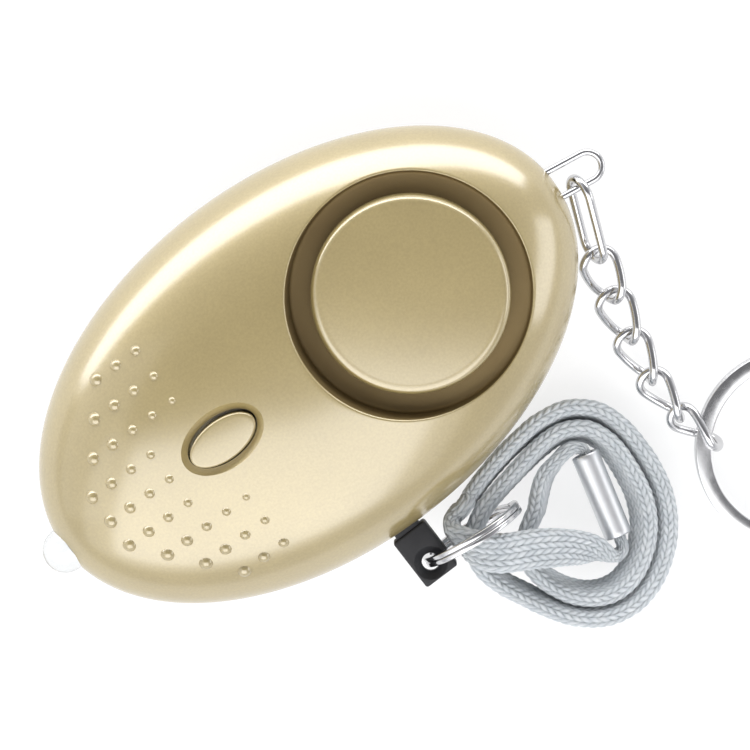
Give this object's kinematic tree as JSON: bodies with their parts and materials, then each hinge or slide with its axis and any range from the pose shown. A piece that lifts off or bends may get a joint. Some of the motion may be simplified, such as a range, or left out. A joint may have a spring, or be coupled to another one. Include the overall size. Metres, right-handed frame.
{
  "type": "personal safety alarm",
  "caption": "Oval keychain safety alarm with a round sounder disc, light button, lens, pull pin on a wound wrist strap, and a chain with a split key ring.",
  "frame": {"origin": "middle of the flat rest pad on the case's back, below the centre of the oval case", "axes": "+X along the case from the lens end to the bail end, +Y across the case away from the pull pin, +Z out of the case's face"},
  "size_m": [0.0828, 0.0716, 0.0199],
  "materials": {
    "gold_paint": "satin champagne-gold paint over moulded plastic",
    "black_plastic": "fine matte black moulding",
    "clear_lens": "clear moulded LED lens",
    "chrome_wire": "bright plated wire",
    "steel_sleeve": "bright rolled steel tube",
    "strap_braid": "grey-blue flat braid",
    "board_green": "green circuit board",
    "tin_metal": "tinned metal",
    "brass_plate": "brass sounder plate",
    "ceramic_white": "white piezo ceramic",
    "chip_black": "black moulded package",
    "wire_red": "plastic-covered lead",
    "holder_grey": "dark grey moulded holder",
    "cell_steel": "plated cell can"
  },
  "bodies": {
    "case": {"front_shell": "gold_paint", "rear_shell": "gold_paint", "speaker_cap": "gold_paint", "led": "clear_lens", "led_leads": "tin_metal", "circuit_board": "board_green", "tact_switch": "chip_black", "piezo_disc": "brass_plate", "piezo_ceramic": "ceramic_white", "sound_chamber": "black_plastic", "piezo_leads": "wire_red", "boost_coil": "chip_black", "driver_chip": "chip_black", "transistor": "chip_black", "resistors": "chip_black", "button_cells": "cell_steel", "battery_holder": "holder_grey", "contact_positive": "tin_metal", "contact_negative": "tin_metal", "pin_switch": "holder_grey", "pin_leaves": "tin_metal", "case_screws": "tin_metal"},
    "pin": {"pull_pin": "black_plastic"},
    "strap": {"pin_ring": "chrome_wire", "wrist_strap": "strap_braid", "strap_ferrule": "steel_sleeve"},
    "button": {"light_button": "gold_paint"},
    "plunger": {"tact_plunger": "black_plastic"},
    "bail": {"bail": "chrome_wire"},
    "connector": {"chain_connector": "chrome_wire"},
    "link_1": {"chain_link_1": "chrome_wire"},
    "link_2": {"chain_link_2": "chrome_wire"},
    "link_3": {"chain_link_3": "chrome_wire"},
    "link_4": {"chain_link_4": "chrome_wire"},
    "link_5": {"chain_link_5": "chrome_wire"},
    "key_ring": {"key_ring": "chrome_wire"}
  },
  "joints": [
    {"name": "pin_pull", "type": "slide", "parent": "case", "child": "pin", "axis": [0, -1, 0], "range_m": [0, 0.0085]},
    {"name": "strap_swing", "type": "hinge", "parent": "pin", "child": "strap", "pos_m": [-0.0024, -0.02495, 0.0096], "axis": [0, 0, 1], "range_deg": [-20, 0]},
    {"name": "button_press", "type": "slide", "parent": "case", "child": "button", "axis": [0, 0, -1], "range_m": [0, 0.0004], "stiffness_N_per_m": 1500},
    {"name": "plunger_press", "type": "slide", "parent": "case", "child": "plunger", "axis": [0, 0, -1], "range_m": [0, 0.0004]},
    {"name": "bail_swing", "type": "hinge", "parent": "case", "child": "bail", "pos_m": [0.0294, 0, 0.0096], "axis": [0, 0, 1], "range_deg": [0, 15]},
    {"name": "connector_swing", "type": "hinge", "parent": "bail", "child": "connector", "pos_m": [0.03469, -0.00243, 0.0096], "axis": [0, 0, 1], "range_deg": [0, 15]},
    {"name": "link_1_swing", "type": "hinge", "parent": "connector", "child": "link_1", "pos_m": [0.03179, -0.00959, 0.00648], "axis": [0, 0, 1], "range_deg": [0, 10]},
    {"name": "link_2_swing", "type": "hinge", "parent": "link_1", "child": "link_2", "pos_m": [0.03044, -0.0143, 0.00489], "axis": [0, 0, 1], "range_deg": [0, 10]},
    {"name": "link_3_swing", "type": "hinge", "parent": "link_2", "child": "link_3", "pos_m": [0.02923, -0.01914, 0.00364], "axis": [0, 0, 1], "range_deg": [0, 10]},
    {"name": "link_4_swing", "type": "hinge", "parent": "link_3", "child": "link_4", "pos_m": [0.02835, -0.02417, 0.00293], "axis": [0, 0, 1], "range_deg": [0, 10]},
    {"name": "link_5_swing", "type": "hinge", "parent": "link_4", "child": "link_5", "pos_m": [0.02835, -0.02931, 0.00266], "axis": [0, 0, 1], "range_deg": [0, 10]},
    {"name": "key_ring_swing", "type": "hinge", "parent": "link_5", "child": "key_ring", "pos_m": [0.02929, -0.03283, 0.00279], "axis": [0, 0, 1], "range_deg": [-14, 1]}
  ],
  "couplings": [
    {"joint": "plunger_press", "follows": "button_press", "ratio": 1}
  ]
}
